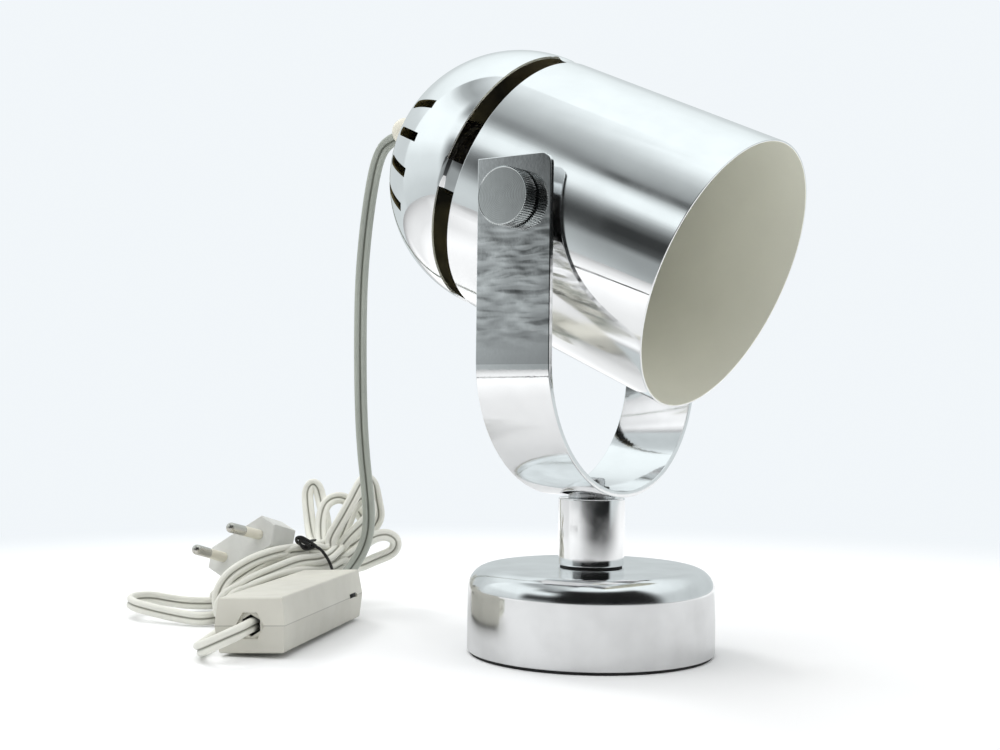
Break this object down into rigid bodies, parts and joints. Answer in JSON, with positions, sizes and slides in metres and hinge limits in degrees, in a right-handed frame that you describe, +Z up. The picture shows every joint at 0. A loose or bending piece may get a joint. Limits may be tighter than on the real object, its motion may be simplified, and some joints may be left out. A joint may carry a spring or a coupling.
{
  "type": "desk lamp",
  "caption": "Chrome searchlight table lamp: tilting tube shade with vented dome in a strap yoke on a weighted round foot, with inline switch, tied flex and flat plug.",
  "frame": {"origin": "centre of the foot's flat underside", "axes": "+Z up along the swivel axis; the tilt axis runs along X; the head aims along -Y, tilted down"},
  "size_m": [0.1538, 0.2577, 0.2089],
  "materials": {
    "chrome": "polished chrome plate",
    "zinc_steel": "bright zinc plated steel",
    "iron": "bare cast iron",
    "pad_rubber": "matt black rubber",
    "fibre": "pale fibre",
    "ivory_plastic": "satin ivory plastic",
    "bakelite": "black phenolic moulding",
    "ceramic": "glazed ceramic",
    "contact_brass": "bare brass",
    "cap_metal": "bright rolled metal",
    "frosted_glass": "pearl frosted glass",
    "switch_plastic": "satin moulded plastic",
    "rocker_plastic": "satin moulded plastic",
    "plug_plastic": "satin moulded vinyl",
    "pin_metal": "nickel plated, worn",
    "pin_cream": "cream sleeve",
    "flex_vinyl": "smooth vinyl flex",
    "tie_black": "black coated wire"
  },
  "bodies": {
    "base": {"base_cover": "chrome", "base_pad": "pad_rubber", "base_weight": "iron", "stem_gasket": "pad_rubber", "stem": "chrome", "swivel_bolt": "zinc_steel", "swivel_nut": "zinc_steel"},
    "yoke": {"yoke_bracket": "chrome", "saddle_washer": "pad_rubber", "swivel_washer": "zinc_steel", "lamp_lead": "flex_vinyl", "switch_back": "switch_plastic", "switch_front": "switch_plastic", "rocker_pin": "zinc_steel", "contact_block": "bakelite", "cord_clamps": "switch_plastic", "switch_screws": "zinc_steel", "tail_lead": "flex_vinyl", "cord_hank": "flex_vinyl", "twist_tie": "tie_black", "plug_lead": "flex_vinyl", "plug_body": "plug_plastic", "plug_pins": "pin_metal", "pin_sleeves": "pin_cream"},
    "head": {"shade_tube": "chrome", "rear_dome": "chrome", "pivot_nuts": "zinc_steel", "friction_washers": "fibre", "nipple": "zinc_steel", "nipple_nut": "zinc_steel", "cord_grip": "ivory_plastic", "lampholder_cap": "bakelite", "lampholder_shell": "bakelite", "holder_insert": "ceramic", "holder_contacts": "contact_brass", "bulb_cap": "cap_metal", "bulb_glass": "frosted_glass"},
    "thumb_left": {"thumb_screw_left": "chrome"},
    "thumb_right": {"thumb_screw_right": "chrome"},
    "rocker": {"rocker": "rocker_plastic"}
  },
  "joints": [
    {"name": "swivel", "type": "hinge", "parent": "base", "child": "yoke", "pos_m": [0, 0, 0.0526], "axis": [0, 0, 1], "continuous": true},
    {"name": "head_tilt", "type": "hinge", "parent": "yoke", "child": "head", "pos_m": [0, 0, 0.1485], "axis": [1, 0, 0], "range_deg": [-80, 60], "deforming": ["lamp_lead"]},
    {"name": "thumb_screw_left_turn", "type": "hinge", "parent": "head", "child": "thumb_left", "pos_m": [-0.05035, 0, 0.1485], "axis": [-1, 0, 0], "continuous": true},
    {"name": "thumb_screw_right_turn", "type": "hinge", "parent": "head", "child": "thumb_right", "pos_m": [0.05035, 0, 0.1485], "axis": [1, 0, 0], "continuous": true},
    {"name": "rocker_press", "type": "hinge", "parent": "yoke", "child": "rocker", "pos_m": [-0.03917, 0.09938, 0.00401], "axis": [-0.3984, 0.9162, -0.0436], "range_deg": [0, 10]}
  ]
}
